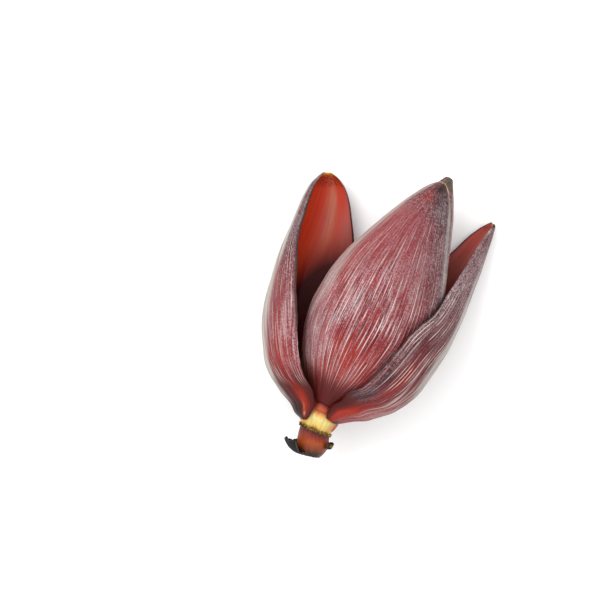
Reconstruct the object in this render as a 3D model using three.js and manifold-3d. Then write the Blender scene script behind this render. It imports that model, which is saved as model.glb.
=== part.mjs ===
// A cut banana blossom lying on a table: a closed bud of overlapping bracts on a short stem,
// with one bract opened on each side of it, a hand of florets inside each of those, and the
// scars and torn bases of the bracts that were shed below them.
//
// Millimetres. +Y runs from the cut stem to the bud's tip, +Z is up, and the table is z = 0.

import * as THREE from "three";
import { mergeVertices } from "three/addons/utils/BufferGeometryUtils.js";
import Module from "manifold-3d";

// ---- Driving dimensions ----

const BRACT = {
  thickness: 2.2, // along the middle
  edge: 1.0, // thickness at the margins
  bevel: 0.14, // share of the width over which it thins
  ribDepth: 0.7,
};
const GAP = 0.4; // left between pieces that touch in the plant

const BUD = {
  base: new THREE.Vector3(9.9, -80.4, 49), // the middle of its base
  yaw: -3, // degrees, the tip to the right
  droop: -2.5, // degrees, the tip down
  flatness: 0.88, // height over width
  // [from its base, half its width]
  shape: profile([
    [-5.4, 12.5],
    [2, 18],
    [14, 28.7],
    [31, 39.7],
    [50, 47],
    [72, 50.4],
    [90, 50],
    [112, 46.8],
    [131, 41],
    [149, 34.4],
    [167, 27.2],
    [187, 17.8],
    [197, 11.8],
    [203, 7],
    [206.5, 3.6],
    [208, 2],
  ]),
};

// The open bracts are boats lying on their sides. Their sections stand across their own length
// and are parts of ellipses, from the upper margin, over the outer side (180 degrees) and under
// the belly, to the lower margin. Across and the angles are towards the bud, and heights are
// from the table, on which a belly that dips below it is flat.
const LEFT_BRACT = {
  side: 1,
  base: [-0.3, -96],
  yaw: 22.2, // degrees from +Y, anticlockwise
  ends: [-3, 196.5],
  sections: profile([
    // along, across, half width, mid height, half height, upper angle, lower angle
    [-3, 0.5, 3.2, 54, 6.5, 66, 290],
    [1, -0.2, 7.6, 53, 11.5, 54, 292],
    [8, -0.6, 11.6, 51.5, 15.5, 48, 290],
    [17.6, -3.6, 17.6, 49.8, 20.8, 58, 285],
    [31, -4.8, 26.4, 46, 29, 84, 285],
    [46, -3.2, 33.6, 41, 36, 98, 290],
    [80, 1.1, 40.8, 37, 38.3, 108, 300],
    [118, 3, 35.8, 30, 31.3, 119, 320],
    [157, 4.4, 24.8, 23, 23.2, 131, 345],
    [185, 5.5, 14.8, 17, 12.5, 131, 360],
    [192.5, 5.6, 8.6, 15, 7.5, 130, 360],
    [196.5, 5, 3.4, 14, 3.2, 130, 360],
  ]),
};
const RIGHT_BRACT = {
  side: -1,
  base: [20.9, -88.5],
  yaw: -14,
  ends: [-3, 204.5],
  sections: profile([
    [-3, 2.2, 5, 54, 8, 56, 290],
    [1, 1.4, 9, 52.5, 13.4, 50, 292],
    [8, -1, 12.8, 51.5, 20.8, 44, 290],
    [17.6, -6.4, 17.4, 50.5, 28, 48, 285],
    [36, -6.6, 28.6, 46.5, 36, 78, 285],
    [63, -5, 35.6, 43.5, 43.3, 86, 288],
    [93, -2.4, 35.6, 42.5, 43.8, 91, 290],
    [121, -1.4, 30.6, 34, 35.3, 101, 302],
    [160, -1.9, 18, 18.5, 17.7, 97, 322],
    [190, 0.2, 9.2, 10.5, 9, 95, 325],
    [204.5, 0, 2.4, 7, 3, 95, 350],
  ]),
};

// The stem bends to the left as it goes down. Its sections stand across it.
const STEM = {
  // [along, x, y, degrees from +Y, half width, mid height, half height]
  sections: profile([
    [0, 17.8, -124.2, 15, 7.4, 46, 7],
    [4, 16.8, -120.3, 15, 10.6, 46.2, 9.8],
    [9, 15.5, -115.5, 13, 12.8, 46.6, 12],
    [15, 13.9, -109.7, 9, 13.2, 47.2, 12.6],
    [21.5, 12.2, -103.3, 4, 12.8, 47.8, 12.2],
    [27.5, 11, -97.2, 3, 15.6, 48.4, 12.8],
    [33.5, 10.3, -91.2, 2, 17, 49, 12.6],
    [36.5, 10, -88.2, 1, 13.4, 49, 11],
    [38.4, 9.9, -86.4, -2, 10, 49, 8.8],
    [44, 10, -80.9, -3, 9.6, 49, 8.4],
  ]),
  length: 44,
  sides: 28,
  rings: 13,
};

const SCARS = {
  along: 22.2, // on the stem
  height: 2.4, // of the ring they stand on
  rise: 0.8, // of the ring from the stem
  count: 17, // in each of two rows
  nub: 1, // half size
};

// What is left of two shed bracts: cups round one side of the stem, open towards the tip.
// around is the part of the stem's round that they take, in degrees.
const TORN_BASES = {
  left: { along: 0.6, height: 10, flare: 9.5, around: [124, 258], tear: 2 },
  right: { along: 9, height: 7, flare: 3.4, around: [-64, 46], tear: 2.4 },
};

// A hand of florets lies against the inside of each open bract, in two rows.
const FLORETS = {
  ends: [9, 56], // from the bract's base
  radius: 2.6,
  // [florets, from, to, depth below the bract's outer face]; from and to as in the sections
  rows: [
    [7, 122, 246, 6],
    [6, 136, 236, 11],
  ],
};

// ---- Colours ----

const skin = (color, roughness = 0.55) =>
  new THREE.MeshStandardMaterial({ color, roughness, metalness: 0 });

const WAXY_MAROON = skin(0x8c3b46);
const DUSKY_PURPLE = skin(0x5e3a44);
const STEM_YELLOW = skin(0xd9b45c, 0.5);
const SCAR_BROWN = skin(0x4a3a20, 0.8);
const TORN_BROWN = skin(0x35291f, 0.8);
const FLORET_CREAM = skin(0xe6d49a, 0.5);

// ---- Curves and numbers ----

function rad(degrees) {
  return (degrees * Math.PI) / 180;
}

function smooth(x) {
  return THREE.MathUtils.smoothstep(x, 0, 1);
}

// The columns of a table of stations as smooth curves over its first column. They don't
// overshoot a station.
function profile(stations) {
  const at = stations.map((row) => row[0]);
  const widths = at.slice(1).map((x, i) => x - at[i]);
  const columns = stations[0].slice(1).map((_, c) => {
    const y = stations.map((row) => row[c + 1]);
    const slope = widths.map((w, i) => (y[i + 1] - y[i]) / w);
    const tangent = y.map((_, i) => {
      if (i === 0) return slope[0];
      if (i === slope.length) return slope[i - 1];
      if (slope[i - 1] * slope[i] <= 0) return 0;
      const before = 2 * widths[i] + widths[i - 1];
      const after = widths[i] + 2 * widths[i - 1];
      return (before + after) / (before / slope[i - 1] + after / slope[i]);
    });
    return { y, tangent };
  });
  return (x) => {
    let i = 0;
    while (i < widths.length - 1 && x > at[i + 1]) i++;
    const w = widths[i];
    const t = Math.min(Math.max((x - at[i]) / w, 0), 1);
    const rise = t * t * (3 - 2 * t);
    const leave = t * (1 - t) * (1 - t) * w;
    const arrive = t * t * (t - 1) * w;
    return columns.map(
      ({ y, tangent }) =>
        y[i] + (y[i + 1] - y[i]) * rise + tangent[i] * leave + tangent[i + 1] * arrive,
    );
  };
}

// 0 to 1 in n steps that are shorter near both ends.
function gathered(n) {
  return Array.from({ length: n + 1 }, (_, i) => {
    const even = i / n;
    return 0.5 * even + 0.25 * (1 - Math.cos(Math.PI * even));
  });
}

// A repeatable scatter between -1 and 1.
function scatter(n) {
  const x = Math.sin(n * 12.9898 + 4.1414) * 43758.5453;
  return 2 * (x - Math.floor(x)) - 1;
}

// ---- Solids from grids of points ----

function geometryOf(points, triangles) {
  const flat = new Float32Array(points.flatMap((p) => [p.x, p.y, p.z]));
  const geometry = new THREE.BufferGeometry();
  geometry.setAttribute("position", new THREE.BufferAttribute(flat, 3));
  geometry.setIndex(triangles.flat());
  geometry.computeVertexNormals();
  return geometry;
}

// A closed leaf: outer(i, j) and inner(i, j) are its two faces, and its four rims join them.
function leafGeometry(rows, columns, outer, inner) {
  const points = [];
  for (const face of [outer, inner])
    for (let i = 0; i <= rows; i++) for (let j = 0; j <= columns; j++) points.push(face(i, j));
  const half = (rows + 1) * (columns + 1);
  const o = (i, j) => i * (columns + 1) + j;
  const n = (i, j) => half + o(i, j);
  const triangles = [];
  const quad = (a, b, c, d) => triangles.push([a, b, c], [a, c, d]);
  for (let i = 0; i < rows; i++) {
    for (let j = 0; j < columns; j++) {
      quad(o(i, j), o(i, j + 1), o(i + 1, j + 1), o(i + 1, j));
      quad(n(i, j), n(i + 1, j), n(i + 1, j + 1), n(i, j + 1));
    }
    quad(o(i, 0), o(i + 1, 0), n(i + 1, 0), n(i, 0));
    quad(o(i + 1, columns), o(i, columns), n(i, columns), n(i + 1, columns));
  }
  for (let j = 0; j < columns; j++) {
    quad(o(0, j + 1), o(0, j), n(0, j), n(0, j + 1));
    quad(o(rows, j), o(rows, j + 1), n(rows, j + 1), n(rows, j));
  }
  return geometryOf(points, triangles);
}

// A closed body through rings of points. The rings run clockwise, seen from the last one.
function loftGeometry(rings) {
  const sides = rings[0].length;
  const points = rings.flat();
  const middle = (ring) =>
    ring.reduce((sum, p) => sum.add(p), new THREE.Vector3()).divideScalar(sides);
  const first = points.push(middle(rings[0])) - 1;
  const last = points.push(middle(rings.at(-1))) - 1;
  const top = (rings.length - 1) * sides;
  const triangles = [];
  for (let j = 0; j < sides; j++) {
    const k = (j + 1) % sides;
    for (let i = 0; i < rings.length - 1; i++) {
      const a = i * sides;
      const b = a + sides;
      triangles.push([a + j, a + k, b + k], [a + j, b + k, b + j]);
    }
    triangles.push([first, k, j], [last, top + j, top + k]);
  }
  return geometryOf(points, triangles);
}

// An ellipse of points across Y, clockwise seen from the tip, for loftGeometry.
function ellipse(sides, x, y, z, halfWidth, halfHeight) {
  return Array.from({ length: sides }, (_, j) => {
    const angle = (-2 * Math.PI * j) / sides;
    return new THREE.Vector3(
      x + halfWidth * Math.cos(angle),
      y,
      z + halfHeight * Math.sin(angle),
    );
  });
}

// ---- Joining and cutting with manifold-3d ----

const wasm = await Module();
wasm.setup();

function solidOf(geometry) {
  const bare = geometry.clone();
  bare.deleteAttribute("normal");
  bare.deleteAttribute("uv");
  const merged = mergeVertices(bare, 1e-4);
  return new wasm.Manifold(
    new wasm.Mesh({
      numProp: 3,
      vertProperties: merged.getAttribute("position").array,
      triVerts: new Uint32Array(merged.index.array),
    }),
  );
}

function geometryFrom(solid) {
  const mesh = solid.getMesh();
  const geometry = new THREE.BufferGeometry();
  geometry.setAttribute("position", new THREE.BufferAttribute(mesh.vertProperties, 3));
  geometry.setIndex(new THREE.BufferAttribute(mesh.triVerts, 1));
  geometry.computeVertexNormals();
  return geometry;
}

function joined(geometries) {
  return geometries.map(solidOf).reduce((whole, next) => whole.add(next));
}

function meshOf(name, geometry, material) {
  const mesh = new THREE.Mesh(geometry, material);
  mesh.name = name;
  return mesh;
}

// ---- The bracts' thickness and ribs ----

// t runs across a bract from 0 to 1 and v along it.
function thicknessAt(v, t) {
  const margin = smooth(Math.min(t, 1 - t) / BRACT.bevel);
  const middle = BRACT.edge + (BRACT.thickness - BRACT.edge) * margin;
  return middle * (1 - 0.4 * smooth((v - 0.85) / 0.15) - 0.3 * smooth((0.08 - v) / 0.08));
}

// Every other column of points lies in a groove, which fades out at the bract's rims.
function grooveAt(v, t, j) {
  const fade = smooth(v / 0.12) * smooth((1 - v) / 0.15) * smooth(Math.min(t, 1 - t) / 0.08);
  return j % 2 ? BRACT.ribDepth * fade : 0;
}

// ---- The bud ----

// A point on the bud at an angle round it, 0 to the right and 90 degrees up, `inset` below its
// outline.
function budPoint(y, degrees, inset) {
  const r = BUD.shape(y)[0] - inset;
  const angle = rad(degrees);
  return new THREE.Vector3(r * Math.cos(angle), y, BUD.flatness * r * Math.sin(angle));
}

const FRONT_BRACT = {
  ends: [-1.5, 200.5],
  inset: () => BRACT.thickness,
  // [along, right margin, left margin], in degrees round the bud
  margins: profile([
    [0, 15, 165],
    [0.3, -2, 188],
    [0.6, 14, 184],
    [0.81, 33, 176],
    [0.925, 48, 169],
    [0.955, 58, 164],
    [0.98, 71, 154],
    [1, 96, 130],
  ]),
  ribs: 13,
  rows: 19,
};

// The rest of the bud is closed. A second bract is wrapped round its back, and its margins
// stand out from the ones further in.
const CLOSED_BUD = {
  ends: [0, 206.8],
  // [from the bud's base, depth of the bract's inner side below the bud's outline]
  inset: profile([
    [185, 5.1],
    [200, 4],
    [206.8, 1.9],
  ]),
  margins: profile([
    [0, -172, 45],
    [0.5, -168, 58],
    [0.85, -170, 78],
    [0.95, -182, 112],
    [1, -190, 125],
  ]),
  ribs: 10,
  bare: 12, // columns of points between the margins
  rows: 17,
};

function wrappedBract({ ends, inset, margins, ribs, rows }) {
  const along = gathered(rows);
  const columns = 2 * ribs;
  const face = (thickness) => (i, column) => {
    const v = along[i];
    const j = columns - column;
    const t = j / columns;
    const y = ends[0] + (ends[1] - ends[0]) * v;
    const [right, left] = margins(v);
    return budPoint(y, right + (left - right) * t, inset(y) - thickness(v, t, j));
  };
  const outer = face((v, t, j) => thicknessAt(v, t) - grooveAt(v, t, j));
  return leafGeometry(rows, columns, outer, face(() => 0));
}

function closedBudGeometry() {
  const { ends, inset, margins, ribs, bare, rows } = CLOSED_BUD;
  const columns = 2 * ribs;
  const rings = gathered(rows).map((v) => {
    const y = ends[0] + (ends[1] - ends[0]) * v;
    const [right, left] = margins(v);
    const under = inset(y)[0];
    const bract = Array.from({ length: columns + 1 }, (_, j) => {
      const t = j / columns;
      const depth = under - thicknessAt(v, t) + grooveAt(v, t, j);
      return budPoint(y, left + (right - left) * t, depth);
    });
    const within = Array.from({ length: bare + 1 }, (_, j) => {
      const angle = right - 1 - ((358 + right - left) * j) / bare;
      return budPoint(y, angle, under + grooveAt(v, 0.5, j));
    });
    return [...bract, ...within];
  });
  return loftGeometry(rings);
}

function makeBud() {
  const bud = new THREE.Group();
  bud.add(meshOf("bud_front_bract", wrappedBract(FRONT_BRACT), WAXY_MAROON));
  bud.add(meshOf("closed_bud", closedBudGeometry(), DUSKY_PURPLE));
  bud.position.copy(BUD.base);
  bud.rotation.set(rad(BUD.droop), 0, rad(BUD.yaw), "ZXY");
  return bud;
}

// ---- The two open bracts ----

// A point of an open bract's section at an angle round it, in the bract's own frame, `lift`
// outside the section's ellipse and never below `floor`.
function sectionPoint(bract, along, degrees, lift, floor = 0) {
  const [across, halfWidth, midHeight, halfHeight] = bract.sections(along);
  const angle = rad(degrees);
  return new THREE.Vector3(
    bract.side * (across + (halfWidth + lift) * Math.cos(angle)),
    along,
    Math.max(midHeight + (halfHeight + lift) * Math.sin(angle), floor),
  );
}

// The angle at t across a section, where t is 0 at the upper margin and 1 at the lower.
function sectionAngle(bract, along, t) {
  const [, , , , upper, lower] = bract.sections(along);
  return upper + (lower - upper) * t;
}

function stationOf(bract, v) {
  return bract.ends[0] + (bract.ends[1] - bract.ends[0]) * v;
}

function openBractGeometry(bract, ribs, rows) {
  const columns = 2 * ribs;
  const along = gathered(rows);
  const face = (depth, isInner) => (i, column) => {
    const v = along[i];
    const j = bract.side < 0 ? column : columns - column;
    const t = j / columns;
    const y = stationOf(bract, v);
    const [, halfWidth, , halfHeight] = bract.sections(y);
    const sunk = Math.min(depth(v, t, j), 0.4 * halfWidth, 0.4 * halfHeight);
    return sectionPoint(bract, y, sectionAngle(bract, y, t), -sunk, isInner ? sunk : 0);
  };
  return leafGeometry(rows, columns, face(grooveAt, false), face(thicknessAt, true));
}

function placeByBract(group, bract) {
  group.position.set(bract.base[0], bract.base[1], 0);
  group.rotation.z = rad(bract.yaw);
  group.updateMatrix();
  return group;
}

function makeOpenBract(name, bract) {
  const group = placeByBract(new THREE.Group(), bract);
  group.add(meshOf(name + "_open_bract", openBractGeometry(bract, 11, 19), WAXY_MAROON));
  return group;
}

// The room a bract's heel needs, as a solid to cut from the stem.
function heelRoom(bract) {
  const columns = 16;
  const stations = [-3 - GAP, 0, 3, 7, 12, 18, 26, 36];
  const rings = stations.map((y) =>
    Array.from({ length: columns + 1 }, (_, j) => {
      const t = (bract.side > 0 ? columns - j : j) / columns;
      return sectionPoint(bract, y, sectionAngle(bract, y, t), 1.6 * GAP);
    }),
  );
  const geometry = loftGeometry(rings);
  geometry.applyMatrix4(placeByBract(new THREE.Object3D(), bract).matrix);
  return geometry;
}

// ---- The florets ----

function floretGeometry(bract, angle, depth, bend) {
  const [first, last] = FLORETS.ends;
  // [along, radius], both as shares: the stalk, the ovary, and the closed petals over it
  const outline = [
    [0, 0.72],
    [0.35, 0.9],
    [0.62, 1],
    [0.9, 0.95],
    [1, 0.42],
  ];
  const rings = outline.map(([share, width]) => {
    const along = first + (last + 2.5 * bend - first) * share;
    const centre = sectionPoint(bract, along, angle + 2 * bend * share, -depth);
    const r = FLORETS.radius * width;
    return ellipse(6, centre.x, centre.y, centre.z, r, r);
  });
  return loftGeometry(rings);
}

// The cushion the florets stand on, along the bract's base.
function cushionGeometry(bract) {
  const columns = 8;
  const [, from, to] = FLORETS.rows[0];
  const face = (depth) => (i, column) => {
    const t = (bract.side < 0 ? column : columns - column) / columns;
    return sectionPoint(bract, FLORETS.ends[0] - 1 + 2.6 * i, from + (to - from) * t, -depth);
  };
  return leafGeometry(1, columns, face(BRACT.thickness + GAP), face(11));
}

function makeFloretHand(name, bract) {
  const florets = FLORETS.rows.flatMap(([count, from, to, depth], row) =>
    Array.from({ length: count }, (_, k) => {
      const angle = from + ((to - from) * k) / (count - 1);
      return floretGeometry(bract, angle, depth, scatter(10 * row + k));
    }),
  );
  const hand = placeByBract(new THREE.Group(), bract);
  const geometry = geometryFrom(joined([cushionGeometry(bract), ...florets]));
  hand.add(meshOf(name + "_floret_hand", geometry, FLORET_CREAM));
  return hand;
}

// ---- The stem, its scars and its torn bracts ----

// A point beside the stem at a distance along it and an angle round it, `lift` off its skin.
function stemPoint(along, degrees, lift) {
  const [x, y, yaw, halfWidth, z, halfHeight] = STEM.sections(along);
  const out = (halfWidth + lift) * Math.cos(rad(degrees));
  const up = (halfHeight + lift) * Math.sin(rad(degrees));
  return new THREE.Vector3(x + out * Math.cos(rad(yaw)), y + out * Math.sin(rad(yaw)), z + up);
}

function stemRing(along, sides, lift) {
  return Array.from({ length: sides }, (_, j) => stemPoint(along, (-360 * j) / sides, lift));
}

function stemGeometry() {
  const rings = gathered(STEM.rings).map((v) => stemRing(STEM.length * v, STEM.sides, 0));
  let stem = solidOf(loftGeometry(rings));
  for (const bract of [LEFT_BRACT, RIGHT_BRACT]) stem = stem.subtract(solidOf(heelRoom(bract)));
  return geometryFrom(stem);
}

// Two rows of nubs, where florets came away, on a low ring.
function scarsGeometry() {
  const { along, height, rise, count, nub } = SCARS;
  const ends = [along - height / 2, along + height / 2];
  const outside = solidOf(loftGeometry(ends.map((s) => stemRing(s, STEM.sides, GAP + rise))));
  const inside = [along - height, along + height];
  const bore = solidOf(loftGeometry(inside.map((s) => stemRing(s, STEM.sides, GAP))));
  let scars = outside.subtract(bore);
  for (let k = 0; k < 2 * count; k++) {
    const s = along + (k % 2 ? 0.55 : -0.55) + 0.2 * scatter(k);
    const centre = stemPoint(s, (180 * k) / count + 2 * scatter(k + 0.5), GAP + rise);
    const size = nub * (1 + 0.2 * scatter(k + 0.25));
    const grain = new THREE.OctahedronGeometry(size).rotateY(k).translate(...centre);
    scars = scars.add(solidOf(grain));
  }
  return geometryFrom(scars.subtract(bore));
}

function tornBaseGeometry({ along, height, flare, around, tear }) {
  const rows = 4;
  const columns = 16;
  const face = (thickness) => (i, column) => {
    const j = columns - column;
    const up = i / rows;
    const ragged = i === rows ? tear * 0.5 * (scatter(j) - Math.max(0, 2 * (j / columns) - 1)) : 0;
    const lift = GAP + flare * Math.pow(up, 0.4) + thickness * (1 - 0.35 * up);
    const angle = around[0] + ((around[1] - around[0]) * j) / columns;
    return stemPoint(along + height * up + ragged, angle, lift);
  };
  return leafGeometry(rows, columns, face(1.7), face(0));
}

function makeStem() {
  const stem = new THREE.Group();
  stem.add(meshOf("stem", stemGeometry(), STEM_YELLOW));
  stem.add(meshOf("floret_scars", scarsGeometry(), SCAR_BROWN));
  for (const [side, torn] of Object.entries(TORN_BASES))
    stem.add(meshOf(side + "_torn_base", tornBaseGeometry(torn), TORN_BROWN));
  return stem;
}

// ---- The whole blossom ----

const blossom = new THREE.Group();
blossom.position.x = -0.9; // puts the middle of its width at x = 0
blossom.add(makeBud());
blossom.add(makeOpenBract("left", LEFT_BRACT));
blossom.add(makeOpenBract("right", RIGHT_BRACT));
blossom.add(makeFloretHand("left", LEFT_BRACT));
blossom.add(makeFloretHand("right", RIGHT_BRACT));
blossom.add(makeStem());

export default blossom;
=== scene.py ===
"""A cut banana blossom lying on a table: the looks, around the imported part.

Sizes are in millimetres, as in the part, and become metres when a mesh is made. +Y runs from
the cut stem to the bud's tip, +Z is up, and the table is z = 0.
"""

import math

import bpy
import numpy as np
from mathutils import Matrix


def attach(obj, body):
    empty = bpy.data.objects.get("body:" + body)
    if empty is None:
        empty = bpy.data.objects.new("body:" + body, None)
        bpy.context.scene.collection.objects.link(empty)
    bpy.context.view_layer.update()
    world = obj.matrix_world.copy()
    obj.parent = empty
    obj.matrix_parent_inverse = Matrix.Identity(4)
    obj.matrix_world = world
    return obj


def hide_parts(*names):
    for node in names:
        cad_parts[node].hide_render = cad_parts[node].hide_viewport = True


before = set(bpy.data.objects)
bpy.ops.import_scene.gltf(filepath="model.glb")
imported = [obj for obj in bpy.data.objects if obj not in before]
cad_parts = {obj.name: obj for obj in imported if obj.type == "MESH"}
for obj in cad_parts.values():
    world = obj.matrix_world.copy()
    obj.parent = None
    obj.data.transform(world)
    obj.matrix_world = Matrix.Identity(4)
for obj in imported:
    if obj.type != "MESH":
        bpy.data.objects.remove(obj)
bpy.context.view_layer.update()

MM = 0.001
MIDDLE = np.array([-0.9, 0, 0])  # puts the middle of the blossom's width at x = 0

# ---- Driving dimensions, as in the part ----

THICKNESS = 2.2  # of a bract, along its middle
EDGE = 1.0  # its thickness at the margins
BEVEL = 0.14  # share of the width over which it thins
TIP_THINNING = [0.4, 0.15]  # share lost towards the tip, over this share of the length
BASE_THINNING = [0.3, 0.08]

BUD_BASE = np.array([9.9, -80.4, 49])
BUD_YAW = -3
BUD_DROOP = -2.5
BUD_FLATNESS = 0.88
BUD_SHAPE = [  # from its base, half its width
    [-5.4, 12.5], [2, 18], [14, 28.7], [31, 39.7], [50, 47], [72, 50.4], [90, 50], [112, 46.8],
    [131, 41], [149, 34.4], [167, 27.2], [187, 17.8], [197, 11.8], [203, 7], [206.5, 3.6],
    [208, 2],
]

# Wrapped bracts: margins are [share of the length, right, left] in degrees round the bud, and
# depth is [from the bud's base, depth of the inner side below the bud's outline]. ragged is how
# far the tip is torn back. Every bract has a number of broad ribs, and a width along its skin.
FRONT_BRACT = {
    "ends": [-1.5, 200.5],
    "depth": [[0, 2.2], [200, 2.2]],
    "margins": [
        [0, 15, 165], [0.3, -2, 188], [0.6, 14, 184], [0.81, 33, 176], [0.925, 48, 169],
        [0.955, 58, 164], [0.98, 71, 154], [1, 96, 130],
    ],
    "ragged": 1.2,
    "ribs": 13,
    "width": 140,
}
BACK_BRACT = {
    "ends": [0, 206.8],
    "depth": [[185, 5.1], [200, 4], [206.8, 1.9]],
    "margins": [
        [0, -172, 45], [0.5, -168, 58], [0.85, -170, 78], [0.95, -182, 112], [1, -190, 125],
    ],
    "ragged": 0.8,
    "ribs": 20,
    "width": 140,
}
HEART_ENDS = [0.5, 206.5]
HEART_WIDTH = 280
HEART_GAP = 0.1  # between the bracts further in and the back bract

# Open bracts: sections are [along, across, half width, mid height, half height, upper angle,
# lower angle], across and angles towards the bud, 180 degrees on the outer side.
LEFT_BRACT = {
    "side": 1,
    "base": [-0.3, -96, 0],
    "yaw": 22.2,
    "ends": [-3, 196.5],
    "ribs": 11,
    "width": 150,
    "sections": [
        [-3, 0.5, 3.2, 54, 6.5, 66, 290],
        [1, -0.2, 7.6, 53, 11.5, 54, 292],
        [8, -0.6, 11.6, 51.5, 15.5, 48, 290],
        [17.6, -3.6, 17.6, 49.8, 20.8, 58, 285],
        [31, -4.8, 26.4, 46, 29, 84, 285],
        [46, -3.2, 33.6, 41, 36, 98, 290],
        [80, 1.1, 40.8, 37, 38.3, 108, 300],
        [118, 3, 35.8, 30, 31.3, 119, 320],
        [157, 4.4, 24.8, 23, 23.2, 131, 345],
        [185, 5.5, 14.8, 17, 12.5, 131, 360],
        [192.5, 5.6, 8.6, 15, 7.5, 130, 360],
        [196.5, 5, 3.4, 14, 3.2, 130, 360],
    ],
}
RIGHT_BRACT = {
    "side": -1,
    "base": [20.9, -88.5, 0],
    "yaw": -14,
    "ends": [-3, 204.5],
    "ribs": 11,
    "width": 150,
    "sections": [
        [-3, 2.2, 5, 54, 8, 56, 290],
        [1, 1.4, 9, 52.5, 13.4, 50, 292],
        [8, -1, 12.8, 51.5, 20.8, 44, 290],
        [17.6, -6.4, 17.4, 50.5, 28, 48, 285],
        [36, -6.6, 28.6, 46.5, 36, 78, 285],
        [63, -5, 35.6, 43.5, 43.3, 86, 288],
        [93, -2.4, 35.6, 42.5, 43.8, 91, 290],
        [121, -1.4, 30.6, 34, 35.3, 101, 302],
        [160, -1.9, 18, 18.5, 17.7, 97, 322],
        [190, 0.2, 9.2, 10.5, 9, 95, 325],
        [204.5, 0, 2.4, 7, 3, 95, 350],
    ],
}

STEM_LENGTH = 44
STEM_RADIUS = 13  # on average
STEM = [  # along, x, y, degrees from +Y, half width, mid height, half height
    [0, 17.8, -124.2, 15, 7.4, 46, 7],
    [4, 16.8, -120.3, 15, 10.6, 46.2, 9.8],
    [9, 15.5, -115.5, 13, 12.8, 46.6, 12],
    [15, 13.9, -109.7, 9, 13.2, 47.2, 12.6],
    [21.5, 12.2, -103.3, 4, 12.8, 47.8, 12.2],
    [27.5, 11, -97.2, 3, 15.6, 48.4, 12.8],
    [33.5, 10.3, -91.2, 2, 17, 49, 12.6],
    [36.5, 10, -88.2, 1, 13.4, 49, 11],
    [38.4, 9.9, -86.4, -2, 10, 49, 8.8],
    [44, 10, -80.9, -3, 9.6, 49, 8.4],
]

SCARS_ALONG = 22.2  # the middle of the ring, along the stem
SCAR_ROWS = [-0.95, -0.1, 0.75]  # from the middle
SCARS_IN_ROW = 44
SCAR_STAGGER = 0.33  # turn of a row against the next, in shares of the spacing
SCAR_JITTER = [0.3, 0.25]  # round the stem, in shares of the spacing, and along it
SCAR_RADIUS = 0.55
SCAR_LIFT = 0.5
SCAR_LUMP = 1 / 0.9  # size of the lumps on a scar

# Torn bases: along and height are along the stem, around is in degrees. flare is how far the
# torn edge stands off the stem, tear how deep it is torn, and gold a share of golden dust.
TORN_THICKNESS = 1.7
TORN_TAPER = 0.35  # share of it that is lost towards the torn edge
TORN_LIFT = -0.1  # of the inner side at its foot, from the stem's skin
TORN_RADIUS = 16  # on average
TORN_BASES = {
    "left": {
        "along": 0.6, "height": 10, "flare": 9.5, "around": [124, 258], "tear": 2,
        "seed": 1, "gold": 0,
    },
    "right": {
        "along": 9, "height": 7, "flare": 3.4, "around": [-64, 46], "tear": 2.4,
        "seed": 5, "gold": 0.9,
    },
}

FLORET_ENDS = [9, 56]  # along an open bract
FLORET_RADIUS = 2.6
FLORET_UNEVEN = 2.5  # how much longer or shorter one may be
FLORET_BEND = 2  # degrees round the bract that one may bend
FLORET_OUTLINE = [  # share of the length, share of the radius
    [0, 0.72], [0.35, 0.9], [0.62, 1], [0.9, 0.95], [0.97, 0.7], [1, 0.15],
]
FLORET_ROWS = [[7, 122, 246, 6], [6, 136, 236, 11]]  # count, from, to, depth in the bract

# ---- Sizes of the skin's relief and patterns ----

ROUND_EDGE = 0.6 * EDGE  # how far from the margin the faces round off
FULL_RELIEF = 0.9
RELIEF_FROM_MARGIN = 16  # the relief is full this far from the margins
RELIEF_FROM_END = 14
INNER_RELIEF = 0.15  # its share on the inner side
WRAPPED_WAVES = 0.6  # degrees that a wrapped bract's margins wander
OPEN_WAVES = 0.8

RIB_SPACING = 3.1
FINE_RIB_SPACING = 1.45
SWAY = [34, 80, 1.6]  # of the ribs: size of a sway across and along, and how far it goes
LINING_SKIN = 300  # how far off the patterns of the lining are, so that they aren't the same
HEART_SKIN = 600

# ---- The studio, in metres ----

FLOOR_REACH = 3
WINDOW_AT = (-0.95, 0.35, 1.35)
CAMERA_AT = (-0.0451, -0.0151, 2.045)
CAMERA_TURN = 26  # degrees


# ---- Curves and numbers ----


def profile(stations):
    """The columns of a table of stations as smooth curves over its first column."""
    table = np.array(stations, float)
    at, y = table[:, 0], table[:, 1:]
    widths = np.diff(at)[:, None]
    slope = np.diff(y, axis=0) / widths
    tangent = np.zeros_like(y)
    tangent[0], tangent[-1] = slope[0], slope[-1]
    before = 2 * widths[1:] + widths[:-1]
    after = widths[1:] + 2 * widths[:-1]
    same_way = slope[:-1] * slope[1:] > 0
    lower, upper = (np.where(same_way, s, 1) for s in (slope[:-1], slope[1:]))
    tangent[1:-1] = np.where(same_way, (before + after) / (before / lower + after / upper), 0)

    def curve(x):
        x = np.asarray(x, float)
        i = np.clip(np.searchsorted(at, x, side="right") - 1, 0, len(at) - 2)
        w = np.diff(at)[i]
        t = np.clip((x - at[i]) / w, 0, 1)[..., None]
        w = w[..., None]
        rise = t * t * (3 - 2 * t)
        leave = t * (1 - t) ** 2 * w
        arrive = t * t * (t - 1) * w
        return y[i] + (y[i + 1] - y[i]) * rise + tangent[i] * leave + tangent[i + 1] * arrive

    return curve


def smooth(x):
    """0 below 0 and 1 above 1, with a soft step between."""
    x = np.clip(x, 0, 1)
    return x * x * (3 - 2 * x)


def gathered(n, lean=0.5):
    """0 to 1 in n steps that are shorter near both ends."""
    even = np.linspace(0, 1, n + 1)
    return (1 - lean) * even + lean * (1 - np.cos(np.pi * even)) / 2


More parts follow.
